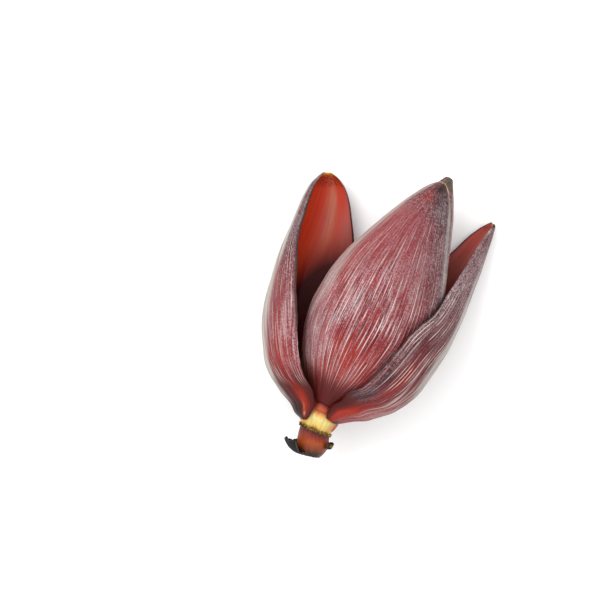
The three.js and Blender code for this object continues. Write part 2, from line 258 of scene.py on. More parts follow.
def ripple(x, wavelength, seed):
    """A smooth irregular wave between about -1 and 1."""
    turn = 2 * np.pi * np.asarray(x) / wavelength
    return (
        0.5 * np.sin(turn + seed)
        + 0.3 * np.sin(2.3 * turn + 2.1 * seed)
        + 0.2 * np.sin(5.1 * turn + 3.7 * seed)
    )


def patches(v, t, spots):
    """Soft oval patches, each [along, across, length, width, strength] in shares of a bract."""
    total = np.zeros(np.broadcast(v, t).shape)
    for along, across, length, width, strength in spots:
        total += strength * np.exp(-(((v - along) / length) ** 2) - ((t - across) / width) ** 2)
    return np.clip(total, 0, 1)


def band(v, t, stations):
    """A soft band along a bract through [along, across, half width, strength], in shares."""
    middle, half, strength = np.moveaxis(profile(stations)(v), -1, 0)
    start, end = stations[0][0], stations[-1][0]
    fade_in, fade_out = 0.04, 0.08
    inside = smooth((v - start) / fade_in + 1) * smooth((end - v) / fade_out + 1)
    return inside * strength * smooth(1.6 * (1 - np.abs(t - middle) / half))


def turned(points, yaw, droop, base):
    """Points in a piece's own frame, tipped about X, then turned about Z and moved."""
    z, x = math.radians(yaw), math.radians(droop)
    about_z = np.array([[math.cos(z), -math.sin(z), 0], [math.sin(z), math.cos(z), 0], [0, 0, 1]])
    about_x = np.array([[1, 0, 0], [0, math.cos(x), -math.sin(x)], [0, math.sin(x), math.cos(x)]])
    return points @ (about_z @ about_x).T + base + MIDDLE


# ---- Meshes from grids of points ----


def mesh_of(name, points, faces, layers, edges=()):
    """A piece of points in millimetres, with a number or a vector for each in every layer."""
    mesh = bpy.data.meshes.new(name)
    mesh.from_pydata((np.asarray(points) * MM).tolist(), edges, faces)
    for title, values in layers.items():
        values = np.asarray(values, np.float32)
        kind, key = ("FLOAT_VECTOR", "vector") if values.ndim == 2 else ("FLOAT", "value")
        mesh.attributes.new(title, kind, "POINT").data.foreach_set(key, values.ravel())
    piece = bpy.data.objects.new(name, mesh)
    bpy.context.scene.collection.objects.link(piece)
    return piece


def sheet_faces(index, flip=False):
    """The quads of a grid of point numbers."""
    corners = (index[:-1, :-1], index[:-1, 1:], index[1:, 1:], index[1:, :-1])
    if flip:
        corners = corners[::-1]
    return np.stack([c.ravel() for c in corners], axis=1).tolist()


def leaf(surface, size, grid, thickness, masks, flip=False):
    """A closed leaf with round edges, as points, faces and layers.

    surface(v, t, depth) gives points under the outer face, at shares v of the length and t of
    the width. size is the leaf's length and width, in millimetres, and grid its steps along
    and across.
    """
    rows, columns = grid
    v, t = np.meshgrid(gathered(rows), gathered(columns), indexing="ij")
    thick = thickness(v, t)
    length, width = size
    from_margin = np.minimum(t, 1 - t) * width
    from_end = np.minimum(v, 1 - v) * length
    edge = np.minimum(from_margin, from_end)
    swell = np.sqrt(1 - (1 - np.clip(edge / ROUND_EDGE, 0, 1)) ** 2)
    outer = surface(v, t, thick / 2 * (1 - swell))
    inner = surface(v, t, thick / 2 * (1 + swell))
    points = np.concatenate([outer.reshape(-1, 3), inner[1:-1, 1:-1].reshape(-1, 3)])

    # Both faces share the points of the rim.
    outer_index = np.arange(v.size).reshape(v.shape)
    inner_index = outer_index.copy()
    inner_index[1:-1, 1:-1] = v.size + np.arange((rows - 1) * (columns - 1)).reshape(rows - 1, -1)
    faces = sheet_faces(outer_index, flip) + sheet_faces(inner_index, not flip)

    def both(on_outer, on_inner):
        """A grid of values on each face as one list, in the order of the points."""
        on_outer, on_inner = (np.broadcast_to(face, v.shape) for face in (on_outer, on_inner))
        return np.concatenate([on_outer.ravel(), on_inner[1:-1, 1:-1].ravel()])

    relief = smooth(from_margin / RELIEF_FROM_MARGIN) * smooth(from_end / RELIEF_FROM_END)
    relief = FULL_RELIEF * relief
    skin = [both(t * width, t * width), both(v * length, v * length), both(0, LINING_SKIN)]
    layers = {
        "skin": np.stack(skin, axis=1),
        "across": both(t, t),
        "relief": both(relief, INNER_RELIEF * relief),
        "inner": both(0, 1),
    }
    for title, values in masks(v, t).items():
        layers[title] = both(values, values)
    return points, faces, layers


def capped_loft(rings, skin, layers):
    """A closed body through rings of points with a fan over each end, as points, faces and
    layers. The three rows of skin and the layers are grids of values at the rings' points."""
    count, sides = rings.shape[:2]
    index = np.arange(count * sides).reshape(count, sides)
    index = np.concatenate([index, index[:, :1]], axis=1)
    points = np.concatenate([rings.reshape(-1, 3), rings[:1].mean(axis=1), rings[-1:].mean(axis=1)])
    first, last = count * sides, count * sides + 1
    faces = sheet_faces(index)
    faces += [[first, index[0, j + 1], index[0, j]] for j in range(sides)]
    faces += [[last, index[-1, j], index[-1, j + 1]] for j in range(sides)]

    def ended(grid):
        """A grid of values as one list, with one more value for the middle of each end."""
        grid = np.broadcast_to(grid, (count, sides))
        return np.concatenate([grid.ravel(), grid[0, :1], grid[-1, :1]])

    spread = {"skin": np.stack([ended(row) for row in skin], axis=1)}
    for title, values in layers.items():
        spread[title] = ended(values)
    return points, faces, spread


def joined(parts):
    """Several (points, faces, layers), with the same layers in each, as one."""
    points, faces, layers = [], [], {}
    start = 0
    for part_points, part_faces, part_layers in parts:
        points.append(part_points)
        faces += [[start + corner for corner in face] for face in part_faces]
        start += len(part_points)
        for title, values in part_layers.items():
            layers.setdefault(title, []).append(values)
    return np.concatenate(points), faces, {k: np.concatenate(v) for k, v in layers.items()}


# ---- Nodes ----


def srgb(code):
    """A colour as linear numbers."""
    values = [int(code[i : i + 2], 16) / 255 for i in (1, 3, 5)]
    return [v / 12.92 if v <= 0.04045 else ((v + 0.055) / 1.055) ** 2.4 for v in values] + [1]


def add(tree, kind, feeds=(), out=0, **settings):
    """Adds a node with its settings and links, and gives one of its outputs.

    feeds maps its inputs to values or to the outputs of other nodes.
    """
    made = tree.nodes.new(kind)
    for setting, value in settings.items():
        setattr(made, setting, value)
    for socket, value in dict(feeds).items():
        if isinstance(value, bpy.types.NodeSocket):
            tree.links.new(value, made.inputs[socket])
        else:
            made.inputs[socket].default_value = value
    return made.outputs[out] if made.outputs else made


def skin_place(tree):
    """Where a point is on its skin: millimetres across the ribs, and along them."""
    if tree.bl_idname == "ShaderNodeTree":
        return add(tree, "ShaderNodeAttribute", out="Vector", attribute_name="skin")
    return add(tree, "GeometryNodeInputNamedAttribute", {"Name": "skin"}, data_type="FLOAT_VECTOR")


def ribbed(tree, spacing, low, high):
    """A mask of parallel ribs, `spacing` millimetres apart and swaying a little.

    A crest is 1 and a groove is -1, and the mask goes from 0 at low to 1 at high.
    """
    place = skin_place(tree)
    per_sway = (1 / SWAY[0], 1 / SWAY[1], 1 / SWAY[0])
    calm = add(tree, "ShaderNodeVectorMath", {0: place, 1: per_sway}, operation="MULTIPLY")
    noise = add(tree, "ShaderNodeTexNoise", {"Vector": calm, "Scale": 1, "Detail": 1})
    across = add(tree, "ShaderNodeSeparateXYZ", {0: place})
    swayed = {0: noise, 1: SWAY[2], 2: across}
    rib_place = add(tree, "ShaderNodeMath", swayed, operation="MULTIPLY_ADD")
    per_rib = 2 * math.pi / spacing
    turn = add(tree, "ShaderNodeMath", {0: rib_place, 1: per_rib}, operation="MULTIPLY")
    wave = add(tree, "ShaderNodeMath", {0: turn}, operation="COSINE")
    limits = {"Value": wave, "From Min": low, "From Max": high}
    return add(tree, "ShaderNodeMapRange", limits, interpolation_type="SMOOTHSTEP")


def clouded(tree, place, scale, detail, low, high, least):
    """A mask from `least` to 1, where a noise goes from low to high."""
    noise = add(tree, "ShaderNodeTexNoise", {"Vector": place, "Scale": scale, "Detail": detail})
    limits = {"Value": noise, "From Min": low, "From Max": high, "To Min": least}
    return add(tree, "ShaderNodeMapRange", limits, interpolation_type="SMOOTHSTEP")


def grained(tree, width, length, low, high, least=0.0, seed=0.0, detail=2.0):
    """A mask of streaks along the ribs, with their width and length in millimetres."""
    stretch = {
        0: skin_place(tree),
        1: (1 / width, 1 / length, 1 / width),
        2: (seed, 0.37 * seed, 0),
    }
    place = add(tree, "ShaderNodeVectorMath", stretch, operation="MULTIPLY_ADD")
    return clouded(tree, place, 1, detail, low, high, least)


def speckled(tree, size, low, high, least=0.0, detail=2.0):
    """A mask of specks, with their size in millimetres."""
    place = add(tree, "ShaderNodeTexCoord", out="Object")
    return clouded(tree, place, 1 / (size * MM), detail, low, high, least)


def blended(tree, low, high, *shares):
    """A mask where a sum of patterns, each with its share, goes from low to high."""
    total = 0.0
    for pattern, share in shares:
        feeds = {0: pattern, 1: share, 2: total}
        total = add(tree, "ShaderNodeMath", feeds, operation="MULTIPLY_ADD")
    limits = {"Value": total, "From Min": low, "From Max": high}
    return add(tree, "ShaderNodeMapRange", limits, interpolation_type="SMOOTHSTEP")


def painted(tree, ground, coats):
    """A ground colour with coats over it.

    A coat is (mask, ..., colour), and lies where all its masks are. A mask is a pattern, a
    number or the name of a layer that the mesh carries.
    """
    for *masks, colour in coats:
        whole = 1.0
        for mask in masks:
            if isinstance(mask, str):
                mask = add(tree, "ShaderNodeAttribute", out="Fac", attribute_name=mask)
            whole = add(tree, "ShaderNodeMath", {0: whole, 1: mask}, operation="MULTIPLY")
        feeds = {0: whole, 6: ground, 7: srgb(colour)}
        ground = add(tree, "ShaderNodeMix", feeds, out=2, data_type="RGBA")
    return ground


def surfaced(name, build):
    """A material whose build(tree) gives the feeds of its shader."""
    material = bpy.data.materials.new(name)
    material.use_nodes = True
    tree = material.node_tree
    tree.nodes.clear()
    shader = add(tree, "ShaderNodeBsdfPrincipled", build(tree))
    add(tree, "ShaderNodeOutputMaterial", {"Surface": shader})
    return material


# ---- Materials ----


def waxy_bract(tree):
    """The outside of a bract: crimson skin under a film of whitish wax, thickest along the ribs,
    with painted sheen, shade, shadow and highlights among its coats.

    The skin's fibres are about 0.3 mm wide, too fine to show, and are drawn 0.8 mm wide.
    """
    crests = ribbed(tree, RIB_SPACING, 0.6, 1)
    grooves = ribbed(tree, RIB_SPACING, -0.6, -1)
    fine_crests = ribbed(tree, FINE_RIB_SPACING, 0.2, 0.9)
    fine_grooves = ribbed(tree, FINE_RIB_SPACING, -0.3, -0.95)
    lasting = grained(tree, 2.6, 34, 0.46, 0.58, seed=7)
    thin = grained(tree, 0.8, 24, 0.44, 0.58, seed=11, detail=3)
    cracks = grained(tree, 0.8, 30, 0.45, 0.37, seed=31)
    broad = grained(tree, 8, 50, 0.36, 0.64, seed=3)
    worn = grained(tree, 2.4, 26, 0.38, 0.58, seed=23, detail=3)
    grit = speckled(tree, 1.3, 0.36, 0.64)
    specks = speckled(tree, 1.5, 0.38, 0.66, detail=3)
    cloud = speckled(tree, 11, 0.35, 0.65, detail=4)
    lined = add(tree, "ShaderNodeMath", {0: crests, 1: lasting}, operation="MULTIPLY")

    # The film of wax is streaky, dusty where the mesh is mottled, or even.
    mottle, even, wax, rough = (
        add(tree, "ShaderNodeAttribute", out="Fac", attribute_name=title)
        for title in ("mottle", "even", "wax", "rough")
    )
    streaky = blended(
        tree, 0.5, 1.8,
        (thin, 0.45), (fine_crests, 0.2), (broad, 0.4), (worn, 0.35), (grit, 0.5), (lined, 0.35),
    )
    dusty = blended(tree, 0.2, 1.8, (specks, 0.8), (grit, 0.3), (cloud, 0.6), (thin, 0.3))
    film = add(tree, "ShaderNodeMix", {0: mottle, 2: streaky, 3: dusty}, data_type="FLOAT")
    film = add(tree, "ShaderNodeMix", {0: even, 2: film, 3: 0.42}, data_type="FLOAT")
    film = add(tree, "ShaderNodeMath", {0: film, 1: 2.4}, operation="MULTIPLY")
    film = add(tree, "ShaderNodeMath", {0: film, 1: wax}, operation="MULTIPLY", use_clamp=True)

    dusky = grained(tree, 2.3, 38, 0.36, 0.6, 0.6, seed=41, detail=3)
    bare_lines = grained(tree, 2.6, 60, 0.5, 0.6, seed=61, detail=3)
    pocks = grained(tree, 1.2, 2.6, 0.54, 0.68, seed=51, detail=3)
    silvery = grained(tree, 1.6, 70, 0.38, 0.58, 0.35, seed=4, detail=3)
    coats = [
        ("red", grained(tree, 3.4, 45, 0.36, 0.6, 0.4, seed=19), "#8a1a10"),
        # Darker purple; in places painted shade, on sides turned from the light and between parts.
        ("dusk", dusky, "#33131a"),
        # Near-black lines in the grooves: bare skin, partly painted shade in the grooves.
        (grooves, lasting, "streak", 0.9, "#360d14"),
        (film, "#b4a2a4"),
        # Finer lines in the grooves, also partly painted shade.
        (fine_grooves, thin, "streak", 0.7, "#40101a"),
        (cracks, "streak", 0.9, "#300c13"),
        ("red", bare_lines, 0.8, "#85190f"),
        (lined, "streak", 0.4, "#c4b0aa"),
        (lined, thin, "streak", 0.8, "#d3c2bb"),
        ("fleck", speckled(tree, 1.6, 0.47, 0.6, detail=3), 0.6, "#2a141c"),
        ("fleck", pocks, 0.42, "#c0b0b2"),
        # Whitish wax with a painted sheen along the turn of a bract's flanks.
        ("pale", silvery, "#a9a79f"),
        ("heel", "#420e0c"),
        # Bright orange red; on the heels partly a painted highlight on their bulge.
        ("glow", grained(tree, 3, 25, 0.3, 0.6, 0.35, seed=14), "#962310"),
        # Near black, mostly a painted shadow in the gaps by the bud and at the feet of bracts.
        ("dark", "#24100a"),
        ("dry", "#2c2314"),
        ("dry", grained(tree, 1.5, 9, 0.42, 0.6, seed=71, detail=3), 0.7, "#6d6656"),
        # Creamy margins; on the left heel, painted highlights.
        ("cream", "#c3ad7c"),
    ]
    fibres = {"Height": thin, "Strength": 0.25, "Distance": 0.15 * MM}
    return {
        "Base Color": painted(tree, srgb("#7d2228"), coats),
        "Roughness": rough,
        "Specular IOR Level": 0.2,
        "Normal": add(tree, "ShaderNodeBump", fibres),
    }


def glossy_lining(tree):
    """The inside of a bract: smooth, glossy and orange red, with fine veins, painted shade towards
    the base and painted highlights.
    """
    coats = [
        (grained(tree, 2.2, 120, 0.42, 0.62, seed=5), 0.3, "#981812"),
        (grained(tree, 12, 90, 0.35, 0.65, seed=9), 0.3, "#bd4a1c"),
        ("pink", grained(tree, 14, 60, 0.3, 0.6, 0.6, seed=2), "#ad625b"),
        # A painted highlight: a light brown streak of reflected light on the glossy lining.
        ("tan", grained(tree, 2.4, 40, 0.36, 0.6, 0.3, seed=12), "#b98163"),
        # Painted shade: near black towards the base, where the bud shades the lining.
        ("deep", "#430c0e"),
        ("yellow", grained(tree, 2.5, 5, 0.35, 0.6, 0.3), "#d3a23a"),
        ("scorch", speckled(tree, 1.2, 0.4, 0.6, detail=3), 0.75, "#55200c"),
        ("rim", "#3b1418"),
    ]
    return {
        "Base Color": painted(tree, srgb("#c2371e"), coats),
        "Roughness": 0.36,
        "Specular IOR Level": 0.12,
    }


def stem_skin(tree):
    """The peduncle: smooth yellow neck with fine fibres, and a browned stub below the scars.

    Its fibres are about 0.3 mm wide, too fine to show, and are drawn 0.9 mm wide.
    """
    along = add(tree, "ShaderNodeAttribute", out="Fac", attribute_name="along")
    uneven = {0: grained(tree, 2.2, 9, 0.3, 0.7, seed=2), 1: 0.05, 2: along}
    place = add(tree, "ShaderNodeMath", uneven, operation="MULTIPLY_ADD")
    ramp = add(tree, "ShaderNodeValToRGB", {"Fac": place})
    bands = [
        (0.03, "#14100e"), (0.1, "#2c1711"), (0.17, "#6e2f16"), (0.3, "#93401a"),
        (0.42, "#6e1712"), (0.49, "#30120c"), (0.54, "#9a7426"), (0.59, "#c9ac58"),
        (0.74, "#cfc27c"), (0.8, "#d09c56"), (0.86, "#cc7048"), (0.93, "#c4553f"),
        (1.0, "#9a3428"),
    ]
    stops = ramp.node.color_ramp.elements
    while len(stops) < len(bands):
        stops.new(0.5)
    for stop, (at, code) in zip(stops, bands):
        stop.position = at
        stop.color = srgb(code)
    fibres = grained(tree, 0.9, 14, 0.45, 0.7, seed=6)
    coats = [
        ("flank", grained(tree, 1.6, 14, 0.3, 0.6, 0.6, seed=21), "#a03c24"),
        (fibres, 0.25, "#6c3a18"),
        ("cut", "#3a281c"),
    ]
    raised = {"Height": fibres, "Strength": 0.3, "Distance": 0.2 * MM}
    return {
        "Base Color": painted(tree, ramp, coats),
        "Roughness": 0.42,
        "Specular IOR Level": 0.25,
        "Normal": add(tree, "ShaderNodeBump", raised),
    }


def corky_scar(tree):
    """Scars where florets came away: dry, corky, golden brown on nearly black."""
    coats = [
        (speckled(tree, 1.1, 0.4, 0.6, detail=3), "#4a3616"),
        (speckled(tree, 1.9, 0.46, 0.58), "#9c7a35"),
    ]
    return {
        "Base Color": painted(tree, srgb("#140e09"), coats),
        "Roughness": 0.8,
        "Specular IOR Level": 0.2,
    }


def withered_bract(tree):
    """Torn bract bases: dried black and matt, grey where the edge has weathered.

    Their fibres are drawn as coarse as the stem's.
    """
    fibres = grained(tree, 0.9, 6, 0.4, 0.7, seed=8, detail=3)
    coats = [
        (fibres, 0.25, "#1e1612"),
        ("edge", speckled(tree, 1.6, 0.42, 0.66, 0.25, detail=4), "#4a443e"),
        ("gold", speckled(tree, 1.4, 0.42, 0.6), "#a8741f"),
    ]
    raised = {"Height": fibres, "Strength": 0.6, "Distance": 0.4 * MM}
    return {
        "Base Color": painted(tree, srgb("#0c0b0b"), coats),
        "Roughness": 0.75,
        "Specular IOR Level": 0.2,
        "Normal": add(tree, "ShaderNodeBump", raised),
    }


def floret_skin(tree):
    """Florets: waxy tubes of creamy white, yellower at the tips."""
    coats = [
        ("share", "#b07f24"),
        (speckled(tree, 2.0, 0.4, 0.7), 0.3, "#a07c50"),
    ]
    return {"Base Color": painted(tree, srgb("#d8c795"), coats), "Roughness": 0.45}


def white_card(tree):
    """The floor: plain white card, matt."""
    return {"Base Color": (0.93, 0.93, 0.93, 1), "Roughness": 0.9}


# ---- Geometry node trees ----


def new_tree(name, inputs):
    """A geometry node tree with the named inputs, and what its input node feeds."""
    tree = bpy.data.node_groups.new(name, "GeometryNodeTree")
    tree.interface.new_socket("Geometry", in_out="INPUT", socket_type="NodeSocketGeometry")
    for title, (kind, value) in inputs.items():
        socket = tree.interface.new_socket(title, in_out="INPUT", socket_type=kind)
        if value is not None:
            socket.default_value = value
    tree.interface.new_socket("Geometry", in_out="OUTPUT", socket_type="NodeSocketGeometry")
    return tree, tree.nodes.new("NodeGroupInput").outputs


def finished(tree, geometry, *finishes):
    """Ends a tree with plain geometry and its materials, as the export needs it.

    A finish is what a Set Material node is fed, and each lies over the ones before it.
    """
    last = add(tree, "GeometryNodeRealizeInstances", {"Geometry": geometry})
    for finish in finishes:
        last = add(tree, "GeometryNodeSetMaterial", {"Geometry": last} | finish)
    add(tree, "NodeGroupOutput", {0: last})
    return tree


def rib_relief():
    """Broad ribs along a bract, narrow ones on them and shallow dents, cut into its faces."""
    tree, feeds = new_tree("rib_relief", {
        "Broad ribs": ("NodeSocketFloat", 12.0),
        "Broad depth": ("NodeSocketFloat", 0.35 * MM),
        "Rib depth": ("NodeSocketFloat", 0.2 * MM),
        "Grain depth": ("NodeSocketFloat", 0.15 * MM),
        "Dent depth": ("NodeSocketFloat", 0.5 * MM),
        "Dent size": ("NodeSocketFloat", 26 * MM),
        "Outside": ("NodeSocketMaterial", None),
        "Inside": ("NodeSocketMaterial", None),
    })
    across, relief, inner = (
        add(tree, "GeometryNodeInputNamedAttribute", {"Name": title}, data_type="FLOAT")
        for title in ("across", "relief", "inner")
    )
    turns = add(tree, "ShaderNodeMath", {0: across, 1: feeds["Broad ribs"]}, operation="MULTIPLY")
    radians = add(tree, "ShaderNodeMath", {0: turns, 1: 2 * math.pi}, operation="MULTIPLY")
    wave = add(tree, "ShaderNodeMath", {0: radians}, operation="COSINE")
    limits = {"Value": wave, "From Min": 1, "From Max": -1}
    broad = add(tree, "ShaderNodeMapRange", limits, interpolation_type="SMOOTHSTEP")
    spot = add(tree, "GeometryNodeInputPosition")
    scale = add(tree, "ShaderNodeMath", {0: 1.0, 1: feeds["Dent size"]}, operation="DIVIDE")
    dents = add(tree, "ShaderNodeTexNoise", {"Vector": spot, "Scale": scale, "Detail": 1})
    grain = grained(tree, 1.3, 70, 0.35, 0.65, seed=31)
    depth = 0.0
    for pattern, deepest in (
        (broad, "Broad depth"),
        (ribbed(tree, RIB_SPACING, 1, -1), "Rib depth"),
        (grain, "Grain depth"),
        (dents, "Dent depth"),
    ):
        deeper = {0: pattern, 1: feeds[deepest], 2: depth}
        depth = add(tree, "ShaderNodeMath", deeper, operation="MULTIPLY_ADD")
    depth = add(tree, "ShaderNodeMath", {0: depth, 1: relief}, operation="MULTIPLY")
    inward = add(tree, "ShaderNodeMath", {0: depth, 1: -1}, operation="MULTIPLY")
    normal = add(tree, "GeometryNodeInputNormal")
    push = add(tree, "ShaderNodeVectorMath", {0: normal, "Scale": inward}, operation="SCALE")
    moved = {"Geometry": feeds["Geometry"], "Offset": push}
    cut = add(tree, "GeometryNodeSetPosition", moved)
    shaped = add(tree, "GeometryNodeSetShadeSmooth", {"Geometry": cut, "Shade Smooth": True})
    is_inner = add(tree, "FunctionNodeCompare", {0: inner, 1: 0.01}, operation="GREATER_THAN")
    skin = {"Material": feeds["Outside"]}
    lining = {"Selection": is_inner, "Material": feeds["Inside"]}
    return finished(tree, shaped, skin, lining)


def scar_tree():
    """A corky nub on each point, at a random turn and size."""
    tree, feeds = new_tree("scar_nubs", {
        "Nub radius": ("NodeSocketFloat", SCAR_RADIUS * MM),
        "Seed": ("NodeSocketInt", 3),
        "Material": ("NodeSocketMaterial", None),
    })
    ball = {"Radius": feeds["Nub radius"], "Subdivisions": 2}
    nub = add(tree, "GeometryNodeMeshIcoSphere", ball)
    lumpy = {"Scale": 1 / (SCAR_LUMP * MM), "Detail": 1}
    lumps = add(tree, "ShaderNodeTexNoise", lumpy, out="Color")
    lumps = add(tree, "ShaderNodeVectorMath", {0: lumps, 1: (0.5, 0.5, 0.5)}, operation="SUBTRACT")
    lumps = add(tree, "ShaderNodeVectorMath", {0: lumps, "Scale": 1.2 * MM}, operation="SCALE")
    nub = add(tree, "GeometryNodeSetPosition", {"Geometry": nub, "Offset": lumps})
    turn, size = (
        add(
            tree,
            "FunctionNodeRandomValue",
            {0: least, 1: most, "Seed": feeds["Seed"]},
            data_type="FLOAT_VECTOR",
        )
        for least, most in (((0, 0, 0), (6.3, 6.3, 6.3)), ((0.6, 0.6, 0.6), (1.25, 1.0, 1.25)))
    )
    turned_by = add(tree, "FunctionNodeEulerToRotation", {0: turn})
    placed = {"Points": feeds["Geometry"], "Instance": nub, "Rotation": turned_by, "Scale": size}
    nubs = add(tree, "GeometryNodeInstanceOnPoints", placed)
    return finished(tree, nubs, {"Material": feeds["Material"]})


def floret_tree():
    """A round tube along each path, as thick as the path's points say."""
    tree, feeds = new_tree("floret_tubes", {
        "Sides": ("NodeSocketInt", 12),
        "Material": ("NodeSocketMaterial", None),
    })
    paths = add(tree, "GeometryNodeMeshToCurve", {"Mesh": feeds["Geometry"]})
    round_ring = {"Resolution": feeds["Sides"], "Radius": 1.0}
    ring = add(tree, "GeometryNodeCurvePrimitiveCircle", round_ring)
    thick = add(tree, "GeometryNodeInputNamedAttribute", {"Name": "thick"}, data_type="FLOAT")
    swept = {"Curve": paths, "Profile Curve": ring, "Fill Caps": True, "Scale": thick}
    tubes = add(tree, "GeometryNodeCurveToMesh", swept)
    tubes = add(tree, "GeometryNodeSetShadeSmooth", {"Geometry": tubes, "Shade Smooth": True})
    return finished(tree, tubes, {"Material": feeds["Material"]})


def applied(piece, tree, values):
    """The piece with the tree run on it, as a plain mesh."""
    modifier = piece.modifiers.new(tree.name, "NODES")
    modifier.node_group = tree
    for socket in tree.interface.items_tree:
        if socket.in_out == "INPUT" and socket.name in values:
            modifier[socket.identifier] = values[socket.name]
    bpy.context.view_layer.update()
    depsgraph = bpy.context.evaluated_depsgraph_get()
    shaped = piece.evaluated_get(depsgraph)
    mesh = bpy.data.meshes.new_from_object(
        shaped, preserve_all_data_layers=True, depsgraph=depsgraph
    )
    piece.modifiers.remove(modifier)
    piece.data = mesh
    return piece


# ---- The bracts' shape ----


def thickness_at(v, t):
    """A bract's thickness: thin at the margins and at both ends."""
    margin = smooth(np.minimum(t, 1 - t) / BEVEL)
    middle = EDGE + (THICKNESS - EDGE) * margin
    (tip_loss, tip_reach), (base_loss, base_reach) = TIP_THINNING, BASE_THINNING
    tip, base = smooth((v - 1 + tip_reach) / tip_reach), smooth(1 - v / base_reach)
    return middle * (1 - tip_loss * tip - base_loss * base)


bud_shape = profile(BUD_SHAPE)


def bud_point(y, degrees, depth):
    """A point of the bud at an angle round it, 0 to the right and 90 up, below its outline."""
    r = bud_shape(y)[..., 0] - depth
    angle = np.radians(degrees)
    x, y, z = np.broadcast_arrays(r * np.cos(angle), y, BUD_FLATNESS * r * np.sin(angle))
    return turned(np.stack([x, y, z], axis=-1), BUD_YAW, BUD_DROOP, BUD_BASE)


def wrapped_bract(bract, grid, masks):
    """A bract that lies round the bud, with wavy margins and a ragged tip."""
    margins = profile(bract["margins"])
    depth_at = profile(bract["depth"])
    start, end = bract["ends"]

    def surface(v, t, depth):
        tear = 0.5 * bract["ragged"] * (ripple(t, 0.3, 2) - 1) * smooth((v - 0.9) / 0.1)
        y = start + (end - start) * v + tear
        right, left = np.moveaxis(margins(v), -1, 0)
        right_waves = ripple(v, 0.21, 1) * smooth((0.06 - t) / 0.06)
        left_waves = ripple(v, 0.17, 4) * smooth((t - 0.94) / 0.06)
        around = right + (left - right) * t + WRAPPED_WAVES * (right_waves + left_waves)
        under = depth_at(y)[..., 0]
        return bud_point(y, around, under - thickness_at(v, t) + depth)

    return leaf(surface, (end - start, bract["width"]), grid, thickness_at, masks, flip=True)


def heart_body(grid):
    """The bracts further in, closed over the bud's core."""
    rows, sides = grid
    start, end = HEART_ENDS
    v, t = np.meshgrid(gathered(rows), np.arange(sides) / sides, indexing="ij")
    y = start + (end - start) * v
    depth = profile(BACK_BRACT["depth"])(y)[..., 0] + HEART_GAP
    skin = (t * HEART_WIDTH, v * (end - start), HEART_SKIN)
    layers = {
        "across": t,
        "relief": 0.6 * smooth(v / 0.1) * smooth((1 - v) / 0.1),
        "inner": 0,
    }
    return capped_loft(bud_point(y, -360 * t, depth), skin, layers | heart_masks(v, t))


def boat_point(bract, along, degrees, depth, lowest=0.0):
    """A point at an angle of an open bract's section, below its outline and above `lowest`."""
    rows = profile(bract["sections"])(along)
    across, half_width, mid, half_height = np.moveaxis(rows, -1, 0)[:4]
    angle = np.radians(degrees)
    x = bract["side"] * (across + (half_width - depth) * np.cos(angle))
    z = np.maximum(mid + (half_height - depth) * np.sin(angle), lowest)
    x, y, z = np.broadcast_arrays(x, along, z)
    return turned(np.stack([x, y, z], axis=-1), bract["yaw"], 0, bract["base"])


def open_bract(bract, grid, masks):
    """A boat-shaped bract that has opened away from the bud, with one wavy margin."""
    start, end = bract["ends"]
    sections = profile(bract["sections"])

    def surface(v, t, depth):
        along = start + (end - start) * v
        _, half_width, _, half_height, upper, lower = np.moveaxis(sections(along), -1, 0)
        waves = OPEN_WAVES * ripple(along, 37, 2 + bract["side"]) * smooth((0.08 - t) / 0.08)
        degrees = upper + (lower - upper) * t + waves
        depth = np.minimum(depth, 0.4 * np.minimum(half_width, half_height))
        return boat_point(bract, along, degrees, depth, depth)

    flip = bract["side"] > 0
    return leaf(surface, (end - start, bract["width"]), grid, thickness_at, masks, flip)
